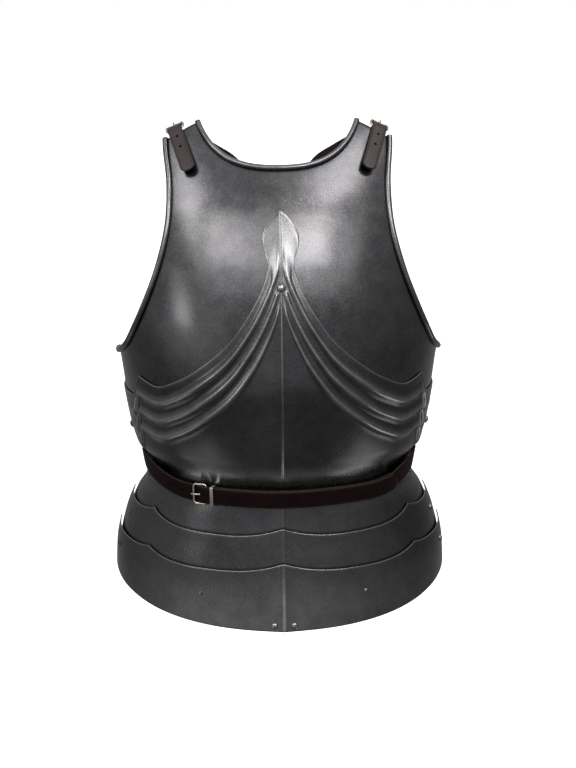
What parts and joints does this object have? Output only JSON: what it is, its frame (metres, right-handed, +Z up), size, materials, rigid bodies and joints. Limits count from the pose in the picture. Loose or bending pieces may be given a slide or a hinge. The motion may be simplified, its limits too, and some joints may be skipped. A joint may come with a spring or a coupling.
{
  "type": "steel breastplate",
  "caption": "Breastplate with rolled neck and arm edges, a fluted plackart with a pointed finial, a fauld of three lames, a waist belt and crossing shoulder straps.",
  "frame": {"origin": "the point between the wearer's shoulders that the worn harness hangs from, level with the tops of its two shoulder points", "axes": "+Z up, -Y to the front, +X to the wearer's left"},
  "size_m": [0.4066, 0.279, 0.5833],
  "materials": {
    "plate_steel": "darkened, fine brushed satin",
    "rivet_steel": "worn satin",
    "dome_steel": "bright, slightly worn",
    "buckle_steel": "bright nickel",
    "belt_leather": "dark reddish brown, waxed",
    "strap_leather": "dark grey brown, satin"
  },
  "bodies": {
    "root": {"breastplate": "plate_steel", "plackart": "plate_steel", "waist_lame": "plate_steel", "belt_strap": "belt_leather", "belt_buckle": "buckle_steel", "belt_prong": "buckle_steel", "belt_keeper": "buckle_steel", "finial_rivet": "dome_steel", "cross_strap_left": "strap_leather", "cross_strap_right": "strap_leather", "chape_left": "strap_leather", "chape_right": "strap_leather", "shoulder_buckle_left": "buckle_steel", "shoulder_buckle_right": "buckle_steel", "shoulder_prong_left": "buckle_steel", "shoulder_prong_right": "buckle_steel", "chape_rivet_left": "rivet_steel", "chape_rivet_right": "rivet_steel", "side_rivet_left": "rivet_steel", "side_rivet_right": "rivet_steel", "waist_rivet_left": "rivet_steel", "waist_rivet_right": "rivet_steel", "middle_rivet_left": "rivet_steel", "middle_rivet_right": "rivet_steel"},
    "middle_lame": {"middle_lame": "plate_steel", "lower_rivet_left": "rivet_steel", "lower_rivet_right": "rivet_steel"},
    "lower_lame": {"lower_lame": "plate_steel", "lining_rivet_left": "rivet_steel", "lining_rivet_right": "rivet_steel", "hem_rivet_left": "dome_steel", "hem_rivet_right": "dome_steel"}
  },
  "joints": [
    {"name": "middle_lame_hinge", "type": "hinge", "parent": "root", "child": "middle_lame", "pos_m": [0, -0.03033, -0.47488], "axis": [1, 0, 0], "range_deg": [-9, 0]},
    {"name": "lower_lame_hinge", "type": "hinge", "parent": "middle_lame", "child": "lower_lame", "pos_m": [0, -0.03335, -0.51396], "axis": [1, 0, 0], "range_deg": [-9, 0]}
  ]
}
